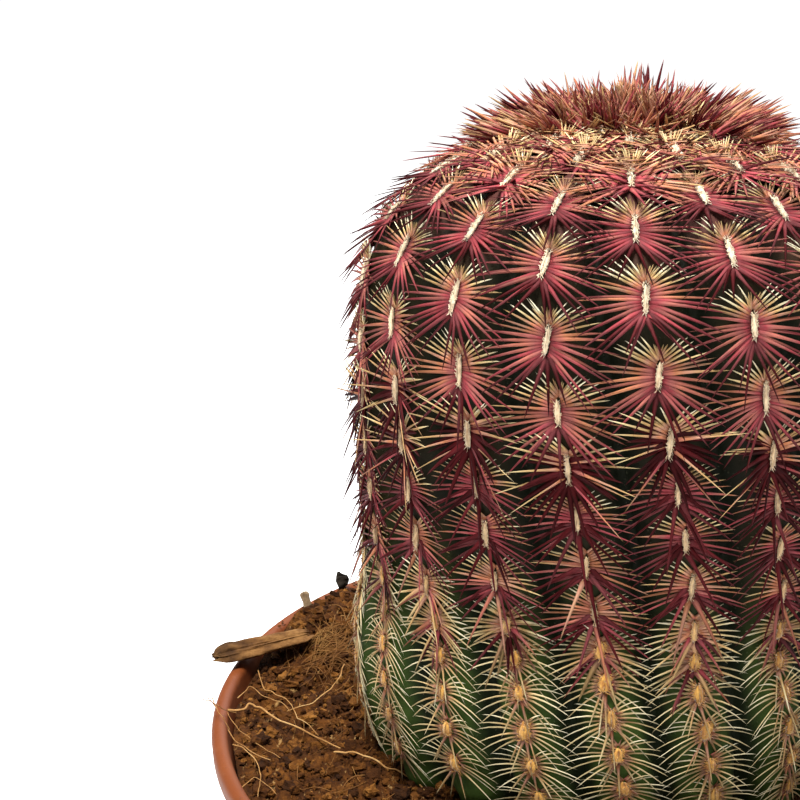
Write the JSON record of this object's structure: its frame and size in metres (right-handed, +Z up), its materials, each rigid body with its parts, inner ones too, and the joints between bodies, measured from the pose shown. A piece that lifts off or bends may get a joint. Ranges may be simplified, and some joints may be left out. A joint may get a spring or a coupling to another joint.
{
  "type": "potted round cactus",
  "caption": "Short ribbed cactus covered in red, mauve and straw spines, standing in peat and coir in a thin round terracotta-coloured plastic pot.",
  "frame": {"origin": "middle of the pot's flat underside", "axes": "+Z up through the pot's axis, -Y towards the front, +X to the right seen from the front"},
  "size_m": [0.1073, 0.105, 0.1657],
  "materials": {
    "pot_plastic": "matte",
    "soil": "matte",
    "cactus": "satin",
    "bark": "matte",
    "dark_crumb": "matte"
  },
  "bodies": {
    "root": {"pot": "pot_plastic", "soil": "soil", "cactus": "cactus", "bark_chip": "bark", "pale_crumb": "bark", "dark_crumb": "dark_crumb"}
  },
  "joints": []
}
